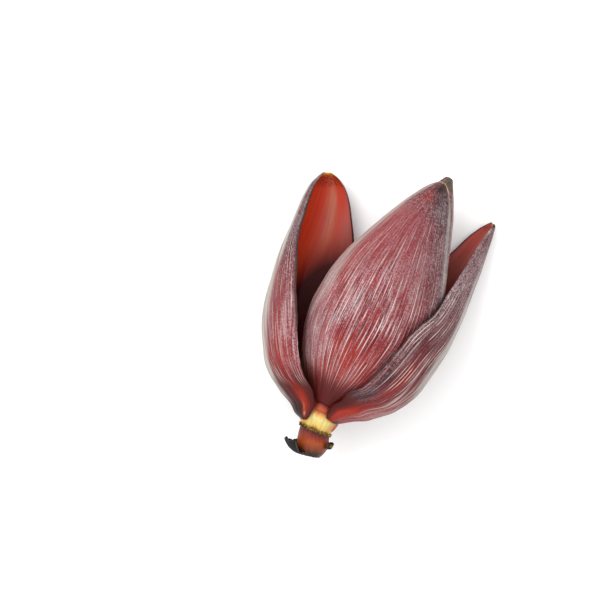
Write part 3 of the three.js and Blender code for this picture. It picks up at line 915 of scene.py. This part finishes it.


# ---- What lies where on the bracts ----
#
# Each function gives the layers that the materials read, at shares v of a bract's length and t of
# its width. On the outside, wax is how thick the film of wax is, mottle is where it is dusty and
# not streaky, even is where it is even, and streak is how strong its lines and cracks are. rough is
# the roughness, and red, fleck, heel and dry are colours. pale is whitish wax with a painted sheen
# along the turn of a bract, dusk a darker purple that is in places painted shade, glow a bright
# orange red that is on the heels partly a painted highlight, dark a near black that is mostly
# painted shadow, and cream a creamy colour that on the left heel is a painted highlight. On the
# inside, pink, yellow, scorch and rim are colours, deep is painted shade and tan a painted
# highlight.


def front_masks(v, t):
    """Bare and red low down, waxy in the middle and to the left, mottled and darker to the right
    and at the tip, partly painted shade to the right; painted sheen along both flanks and painted
    shade by the tip."""
    reach = profile([
        [0, 0.08], [0.2, 0.16], [0.4, 0.3], [0.55, 0.4], [0.7, 0.5], [0.85, 0.6], [1, 0.7],
    ])
    right_flank = smooth(1.1 * (1 - t / reach(v)[..., 0]))
    left_flank = band(v, t, [
        [0.05, 0.88, 0.25, 0.7], [0.22, 0.85, 0.3, 1], [0.4, 0.95, 0.3, 0.9], [0.6, 1, 0.2, 0.5],
        [0.9, 1, 0.25, 0.5],
    ])
    # Painted sheen: bands of whitish wax along both flanks, where the bud turns away.
    left_sheen = band(v, t, [
        [0.3, 0.88, 0.08, 0.2], [0.42, 0.87, 0.12, 0.4], [0.6, 0.9, 0.14, 0.5],
        [0.75, 0.92, 0.14, 0.55], [0.88, 0.91, 0.12, 0.65], [0.96, 0.87, 0.11, 0.75],
        [0.99, 0.86, 0.1, 0.6],
    ])
    right_sheen = band(v, t, [
        [0.5, 0.04, 0.05, 0.15], [0.65, 0.05, 0.06, 0.35], [0.8, 0.06, 0.06, 0.4],
        [0.87, 0.04, 0.06, 0.6], [0.94, 0.02, 0.05, 0.4],
    ])
    centre = patches(v, t, [[0.42, 0.5, 0.22, 0.3, 1]])
    smears = patches(v, t, [
        [0.362, 0.427, 0.015, 0.02, 0.5], [0.5, 0.6, 0.06, 0.03, 0.15],
        [0.33, 0.62, 0.03, 0.05, 0.12],
    ])
    rubbed = patches(v, t, [[0.93, 0.55, 0.04, 0.15, 1.0], [0.55, 0.75, 0.2, 0.1, 0.3]])
    lines = 0.4 + 0.45 * patches(v, t, [[0.3, 0.45, 0.3, 0.5, 1]])
    low = smooth((0.36 - v) / 0.2) * (1 - left_flank)
    tip = smooth((v - 0.8) / 0.14)
    film = 0.09 - 0.02 * tip + 0.25 * centre + 0.3 * left_flank * (1 - tip) + 0.05 * right_flank
    # Darker at the base, to the right and at the tip; to the right this is partly painted shade.
    dusk = 0.6 * smooth((0.13 - v) / 0.08) + 0.9 * right_flank + 0.4 * tip
    fleck = (
        0.8 * right_flank * smooth((v - 0.25) / 0.2)
        + smooth((v - 0.8) / 0.1)
        + 0.25 * smooth((v - 0.42) / 0.2)
    )
    mottle = 0.85 * right_flank + 0.8 * tip + 0.15 * smooth((v - 0.42) / 0.25)
    return {
        "wax": smooth((v - 0.04) / 0.1) * film + smears,
        "mottle": np.clip(mottle, 0, 0.9),
        "even": 0.4 * left_flank * (1 - tip),
        "streak": lines * (1 - 0.4 * left_flank) * smooth((v - 0.02) / 0.1),
        "red": np.maximum(low, rubbed),
        "dusk": np.clip(dusk, 0, 1) + patches(v, t, [[0.9, 0.25, 0.07, 0.2, 0.35]]),
        "pale": left_sheen + right_sheen,
        "fleck": np.clip(fleck, 0, 1),
        "heel": 0.75 * smooth((0.14 - v) / 0.08),
        "glow": patches(v, t, [[0.915, 0.56, 0.015, 0.06, 0.55]]),
        # Painted shade by the tip, next to its torn edge.
        "dark": patches(v, t, [[0.968, 0.4, 0.016, 0.16, 0.9], [0.99, 0.2, 0.02, 0.3, 0.6]]),
        "dry": patches(v, t, [[0.975, 0.5, 0.01, 0.08, 0.6]]),
        "cream": smooth((v - 0.995) / 0.003)
        + smooth((v - 0.965) / 0.01) * smooth((0.05 - t) / 0.03),
        "rough": 0.5,
        "rim": 1,
    }


def back_masks(v, t):
    """Waxy and dusky all over, darker at the ends, dry at the tip, with painted sheen along its
    right flank.
    """
    ends = smooth((0.1 - v) / 0.06) + smooth((v - 0.93) / 0.05)
    # Painted sheen on whitish wax along the right flank.
    sheen_band = band(v, t, [
        [0.5, 0.76, 0.03, 0.2], [0.68, 0.75, 0.05, 0.6], [0.85, 0.72, 0.06, 1],
        [0.95, 0.68, 0.07, 0.6],
    ])
    return {
        "wax": 0.26,
        "mottle": 0.6,
        "streak": 0.3,
        "dusk": np.clip(0.55 + 0.4 * ends, 0, 0.95),
        "pale": 0.5 * sheen_band,
        "fleck": 0.5,
        "dry": 0.8 * smooth((v - 0.94) / 0.03),
        "rough": 0.55,
        "rim": 1,
    }


def heart_masks(v, t):
    """As the back bract, but the same all over."""
    return back_masks(v, t) | {"dusk": 0.6, "pale": 0, "dry": 0, "rough": 0.5}


def left_masks(v, t):
    """Red and bare at the inner margin low down, then a band of whitish wax and painted sheen and
    an evenly waxy belly; painted shadow at the foot and along the inner margin, painted shade and
    highlights in the lining, and a painted highlight on the heel.
    """
    # Painted sheen on whitish wax along the turn of the bract's back.
    sheen_band = band(v, t, [
        [0.06, 0.42, 0.06, 0.5], [0.09, 0.42, 0.07, 0.8], [0.13, 0.41, 0.08, 1],
        [0.19, 0.38, 0.09, 1], [0.3, 0.34, 0.11, 1], [0.47, 0.29, 0.1, 0.95],
        [0.58, 0.265, 0.1, 0.95], [0.68, 0.22, 0.1, 0.95], [0.8, 0.2, 0.09, 0.95],
        [0.9, 0.19, 0.09, 0.95], [0.97, 0.18, 0.1, 0.9],
    ])
    middle = patches(v, t, [[0.36, 0.03, 0.18, 0.12, 1]])
    low = smooth((0.26 - v) / 0.12)
    heel = smooth((0.175 - v) / 0.05) * smooth((0.5 - t) / 0.2)
    under = smooth((t - 0.28) / 0.2) * smooth((v - 0.1) / 0.2)
    up = smooth((v - 0.55) / 0.2)
    dusk = np.clip(0.4 * low + 0.6 * up + 0.35, 0, 0.95) * (1 - 0.6 * middle)
    # Painted shadow: near black at the foot, beside the heel.
    foot = smooth((0.1 - v) / 0.06) * smooth((t - 0.21) / 0.08) * smooth((0.62 - t) / 0.25)
    # Painted shadow along the inner margin, in the gap by the bud.
    margin_shadow = smooth((v - 0.3) / 0.1) * smooth((0.03 - t) / 0.02)
    # Painted shade in the lining, darker towards the base where the bud shades it.
    shaded = smooth((0.74 + 0.4 * (t - 0.62) - v) / 0.33)
    far_rim, near_rim = smooth((t - 0.975) / 0.015), smooth((0.015 - t) / 0.01)
    return {
        "wax": (0.09 + 0.32 * middle + 0.17 * under + 0.06 * up) * (1 - 0.7 * low),
        "even": 0.4 * under,
        "mottle": 0.1 + 0.6 * up,
        "streak": 0.45 + 0.5 * low,
        "red": patches(v, t, [[0.19, 0.18, 0.12, 0.15, 1], [0.4, 0.13, 0.2, 0.05, 0.6]]),
        "dusk": dusk + patches(v, t, [[0.15, 0.04, 0.03, 0.06, 0.5]]),
        "pale": sheen_band,
        "heel": heel,
        # Bright orange red on the heel, partly a painted highlight on its bulge.
        "glow": patches(v, t, [[0.05, 0.15, 0.06, 0.075, 0.75], [0.11, 0.16, 0.045, 0.06, 0.55]]),
        "dark": foot + 0.85 * margin_shadow,
        "fleck": smooth((v - 0.42) / 0.2) * smooth((0.2 - t) / 0.1),
        # Painted highlights on the heel.
        "cream": patches(v, t, [
            [0.026, 0.17, 0.008, 0.02, 0.5], [0.055, 0.19, 0.02, 0.012, 0.22],
        ]),
        "rough": 0.5 - 0.16 * heel,
        "pink": patches(v, t, [
            [0.75, 0.98, 0.2, 0.18, 1], [0.85, 0.7, 0.14, 0.07, 0.75],
            [0.62, 0.9, 0.15, 0.1, 0.45],
        ]),
        "deep": shaded + patches(v, t, [[0.56, 0.8, 0.14, 0.12, 0.45]]),
        # Painted highlights on the glossy lining.
        "tan": patches(v, t, [[0.9, 0.69, 0.05, 0.05, 0.5], [0.8, 0.73, 0.12, 0.04, 0.6]]),
        "yellow": smooth((v - 0.978) / 0.02)
        + smooth((v - 0.93) / 0.02) * smooth((t - 0.95) / 0.03),
        "scorch": smooth((v - 0.93) / 0.03) * smooth((0.995 - v) / 0.01),
        "rim": np.maximum(far_rim, near_rim) * smooth((0.955 - v) / 0.02),
    }


def right_masks(v, t):
    """Waxy at the inner margin, darker and ridged below it, with whitish wax and painted sheen
    along the turn of its back, and dusty higher up; painted shadow along the inner margin, painted
    shade by the heel and in the lining, and a painted highlight on the heel."""
    # Painted sheen on whitish wax along the turn of the back.
    sheen_band = band(v, t, [
        [0.24, 0.39, 0.04, 0.2], [0.32, 0.38, 0.08, 0.8], [0.42, 0.36, 0.09, 0.95],
        [0.55, 0.345, 0.1, 0.95], [0.68, 0.3, 0.09, 0.75], [0.8, 0.29, 0.08, 0.6],
        [0.92, 0.29, 0.08, 0.3],
    ])
    upper_ridge = band(v, t, [
        [0.1, 0.27, 0.012, 0.5], [0.2, 0.26, 0.012, 0.8], [0.34, 0.23, 0.012, 0.7],
        [0.42, 0.22, 0.01, 0.3],
    ])
    lower_ridge = band(v, t, [
        [0.08, 0.32, 0.009, 0.4], [0.17, 0.31, 0.009, 0.75], [0.3, 0.28, 0.009, 0.5],
        [0.4, 0.27, 0.008, 0.2],
    ])
    margin = band(v, t, [
        [0.19, 0, 0.08, 0.4], [0.3, 0, 0.12, 0.9], [0.5, 0, 0.12, 0.9], [0.7, 0, 0.12, 1],
    ])
    crimson = patches(v, t, [
        [0.1, 0.38, 0.09, 0.12, 1], [0.3, 0.17, 0.12, 0.06, 0.8], [0.2, 0.3, 0.1, 0.07, 0.7],
    ])
    # Painted shade between the heel and the bud.
    shade = patches(v, t, [[0.27, 0.09, 0.05, 0.05, 0.4], [0.14, 0.07, 0.06, 0.1, 0.6]])
    belly = smooth((t - 0.26) / 0.05) * smooth((v - 0.05) / 0.06) * smooth((0.36 - v) / 0.12)
    up = smooth((v - 0.45) / 0.3)
    heel = smooth((0.15 - v) / 0.04) * smooth((0.27 - t) / 0.05)
    under = smooth((t - 0.28) / 0.2) * smooth((v - 0.22) / 0.15)
    film = 0.06 + 0.17 * up + 0.05 * smooth((v - 0.25) / 0.15) + 0.2 * margin + 0.14 * belly
    dusk = np.clip(0.74 + 0.06 * up, 0, 0.9) * smooth((v - 0.02) / 0.05) * (1 - 0.75 * crimson)
    foot = smooth((0.03 - v) / 0.02) * smooth((t - 0.25) / 0.1)
    # Painted shadow along the inner margin, in the gap by the bud.
    margin_shadow = (
        smooth((0.012 - t) / 0.008) * smooth((v - 0.1) / 0.06) * smooth((0.66 - v) / 0.06)
    )
    tip_edge = smooth((0.09 - t) / 0.06) * smooth((v - 0.78) / 0.08)
    far_rim, near_rim = smooth((t - 0.985) / 0.01), smooth((0.015 - t) / 0.01)
    return {
        "wax": film + 0.17 * under * (1 - up),
        "even": 0.4 * under,
        "mottle": 0.35 * margin + 0.45 * up,
        "streak": (1.2 - 0.7 * up) * smooth((v - 0.14 + 0.08 * belly) / 0.14),
        "red": crimson,
        "dusk": dusk + shade,
        "pale": np.maximum.reduce([sheen_band, upper_ridge, lower_ridge])
        + patches(v, t, [[0.962, 0.03, 0.007, 0.05, 1]]),
        "heel": heel,
        # Bright orange red on the heel, partly a painted highlight on its bulge.
        "glow": patches(v, t, [[0.03, 0.2, 0.05, 0.075, 1], [0.09, 0.22, 0.055, 0.06, 0.85]]),
        # Painted shadow along the inner margin, a darker foot and the tip's own near black.
        "dark": foot + patches(v, t, [[0.993, 0.2, 0.01, 0.4, 1]]) + 0.85 * margin_shadow,
        "fleck": 0.8 * up + 0.5 * margin * smooth((0.1 - t) / 0.08),
        "rough": 0.5 - 0.16 * heel,
        "pink": 0.9,
        # Painted shade in the lining, darker towards the base.
        "deep": smooth((0.92 - v) / 0.45),
        "yellow": 0.6 * smooth((v - 0.985) / 0.01) + 0.8 * tip_edge,
        "scorch": 0.6 * smooth((v - 0.95) / 0.02),
        "rim": np.maximum(far_rim, near_rim * smooth((0.8 - v) / 0.02)),
    }


# ---- The pieces ----


def settled(piece, node):
    """Says what a piece moves with and stands in for."""
    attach(piece, "root")
    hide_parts(node)


def make_bracts(relief, outside, inside):
    """The front and back bracts of the bud and the two open ones."""
    front = wrapped_bract(FRONT_BRACT, (120, 280), front_masks)
    back = wrapped_bract(BACK_BRACT, (120, 320), back_masks)
    heart = heart_body((100, 200))
    left = open_bract(LEFT_BRACT, (120, 280), left_masks)
    right = open_bract(RIGHT_BRACT, (120, 280), right_masks)
    for name, node, slot, bract, body in (
        ("front_bract", "bud_front_bract", "bract", FRONT_BRACT, front),
        ("back_bracts", "closed_bud", "inner_bract", BACK_BRACT, joined([back, heart])),
        ("left_bract", "left_open_bract", "bract", LEFT_BRACT, left),
        ("right_bract", "right_open_bract", "bract", RIGHT_BRACT, right),
    ):
        values = {"Broad ribs": float(bract["ribs"]), "Outside": outside, "Inside": inside}
        settled(applied(mesh_of(name, *body), relief, values), node)


def stem_point(along, degrees, lift):
    """A point of the stem at an angle round it, above its skin."""
    x, y, yaw, half_width, z, half_height = np.moveaxis(profile(STEM)(along), -1, 0)
    angle, yaw = np.radians(degrees), np.radians(yaw)
    out = (half_width + lift) * np.cos(angle)
    up = (half_height + lift) * np.sin(angle)
    return np.stack([x + out * np.cos(yaw), y + out * np.sin(yaw), z + up], axis=-1) + MIDDLE


def make_stem(relief, skin):
    """The stem, from its rough cut end to the neck that runs into the bud."""
    rows, sides = 110, 96
    v, t = np.meshgrid(gathered(rows), np.arange(sides) / sides, indexing="ij")
    along, degrees = STEM_LENGTH * v, -360 * t
    torn_cut = 0.35 * ripple(degrees, 60, 3) * smooth((6 - along) / 4)
    across, up = np.cos(np.radians(degrees)), np.sin(np.radians(degrees))
    layers = {
        "across": 0,
        "along": v,
        "relief": 1,
        "inner": 0,
        "flank": smooth((np.abs(across) - 0.5) / 0.4) * smooth((v - 0.53) / 0.08),
        "cut": smooth((0.004 - v) / 0.004),
    }
    place = (STEM_RADIUS * across, along, STEM_RADIUS * up)
    body = capped_loft(stem_point(along, degrees, torn_cut), place, layers)
    values = {
        "Broad depth": 0.0,
        "Rib depth": 0.05 * MM,
        "Grain depth": 0.25 * MM,
        "Dent size": 8 * MM,
        "Dent depth": 0.6 * MM,
        "Outside": skin,
        "Inside": skin,
    }
    settled(applied(mesh_of("peduncle", *body), relief, values), "stem")


def make_scars(material):
    """The dark ring of nubs where shed florets came away."""
    rng = np.random.default_rng(5)
    around_jitter, along_jitter = SCAR_JITTER
    points = []
    for row in SCAR_ROWS:
        for k in range(SCARS_IN_ROW):
            turn = k + SCAR_STAGGER * row + around_jitter * rng.uniform(-1, 1)
            along = SCARS_ALONG + row + along_jitter * rng.uniform(-1, 1)
            points.append(stem_point(along, 360 * turn / SCARS_IN_ROW, SCAR_LIFT))
    piece = mesh_of("floret_scar_ring", points, [], {})
    settled(applied(piece, scar_tree(), {"Material": material}), "floret_scars")


def torn_base(torn):
    """What is left of a shed bract round the stem, as points, faces and layers."""
    start, end = torn["around"]

    def thickness(v, t):
        return TORN_THICKNESS * (1 - TORN_TAPER * v) + 0 * t

    def surface(v, t, depth):
        ragged = 0.5 * torn["tear"] * (ripple(t, 0.27, torn["seed"]) - np.maximum(0, 2 * t - 1))
        along = torn["along"] + torn["height"] * v + ragged * smooth((v - 0.6) / 0.4)
        lift = TORN_LIFT + torn["flare"] * v**0.4 + thickness(v, t) - depth
        return stem_point(along, start + (end - start) * t, lift)

    def masks(v, t):
        rim = np.maximum(smooth((v - 0.86) / 0.14), smooth(1 - np.minimum(t, 1 - t) / 0.06))
        return {"edge": rim, "gold": patches(v, t, [[0.6, 0.75, 0.3, 0.16, torn["gold"]]])}

    size = (torn["height"], math.radians(end - start) * TORN_RADIUS)
    points, faces, layers = leaf(surface, size, (40, 120), thickness, masks, flip=True)
    rough, plain = 0.6, 0.05
    layers["relief"] = rough + (plain - rough) * layers["inner"]
    return points, faces, layers


def make_torn_bases(relief, material):
    """The torn bases of two shed bracts."""
    values = {
        "Broad depth": 0.0,
        "Rib depth": 0.1 * MM,
        "Grain depth": 0.4 * MM,
        "Dent size": 5 * MM,
        "Dent depth": 0.6 * MM,
        "Outside": material,
        "Inside": material,
    }
    for side, torn in TORN_BASES.items():
        piece = mesh_of(side + "_withered_base", *torn_base(torn))
        settled(applied(piece, relief, values), side + "_torn_base")


def make_florets(material):
    """A hand of florets in two rows inside each open bract."""
    outline = profile(FLORET_OUTLINE)
    first, last = FLORET_ENDS
    shares = np.concatenate([np.linspace(0, 0.9, 8), [0.95, 0.985, 1.0]])
    tree = floret_tree()
    for side, bract, seed in (("left", LEFT_BRACT, 7), ("right", RIGHT_BRACT, 11)):
        rng = np.random.default_rng(seed)
        points, edges = [], []
        for count, start, end, depth in FLORET_ROWS:
            for k in range(count):
                bend = rng.uniform(-1, 1)
                degrees = start + (end - start) * k / (count - 1)
                steps = range(len(points), len(points) + len(shares) - 1)
                edges += [(step, step + 1) for step in steps]
                for s in shares:
                    along = first + (last + FLORET_UNEVEN * bend - first) * s
                    around = degrees + FLORET_BEND * bend * s
                    points.append(boat_point(bract, along, around, depth))
        share = np.tile(shares, len(points) // len(shares))
        layers = {"thick": FLORET_RADIUS * MM * outline(share)[..., 0], "share": share}
        piece = mesh_of(side + "_florets", points, [], layers, edges)
        settled(applied(piece, tree, {"Material": material}), side + "_floret_hand")


# ---- The studio ----


def make_studio():
    """A white room with a soft window, and the camera straight above."""
    world = bpy.data.worlds.new("white_room")
    bpy.context.scene.world = world
    world.use_nodes = True
    room = world.node_tree.nodes["Background"].inputs
    room["Color"].default_value = (1, 1, 1, 1)
    room["Strength"].default_value = 1.35
    bpy.context.scene.view_settings.view_transform = "Standard"

    reach = FLOOR_REACH / MM
    corners = [[-reach, -reach, 0], [reach, -reach, 0], [reach, reach, 0], [-reach, reach, 0]]
    floor = mesh_of("floor", corners, [[0, 1, 2, 3]], {})
    floor.data.materials.append(surfaced("white_card", white_card))

    light = bpy.data.lights.new("window", "AREA")
    light.shape, light.size, light.energy = "DISK", 1.1, 12
    window = bpy.data.objects.new("window", light)
    window.location = WINDOW_AT
    window.rotation_euler = (-window.location).to_track_quat("-Z", "Y").to_euler()
    bpy.context.scene.collection.objects.link(window)

    lens = bpy.data.cameras.new("camera")
    lens.lens, lens.sensor_width, lens.clip_end = 150, 36, 20
    camera = bpy.data.objects.new("camera", lens)
    camera.location = CAMERA_AT
    camera.rotation_euler = (0, 0, math.radians(CAMERA_TURN))
    bpy.context.scene.collection.objects.link(camera)
    bpy.context.scene.camera = camera


make_studio()
relief = rib_relief()
outside = surfaced("waxy_bract_skin", waxy_bract)
inside = surfaced("glossy_bract_lining", glossy_lining)
make_bracts(relief, outside, inside)
make_stem(relief, surfaced("peduncle_skin", stem_skin))
make_scars(surfaced("corky_scar", corky_scar))
make_torn_bases(relief, surfaced("withered_bract", withered_bract))
make_florets(surfaced("floret_skin", floret_skin))
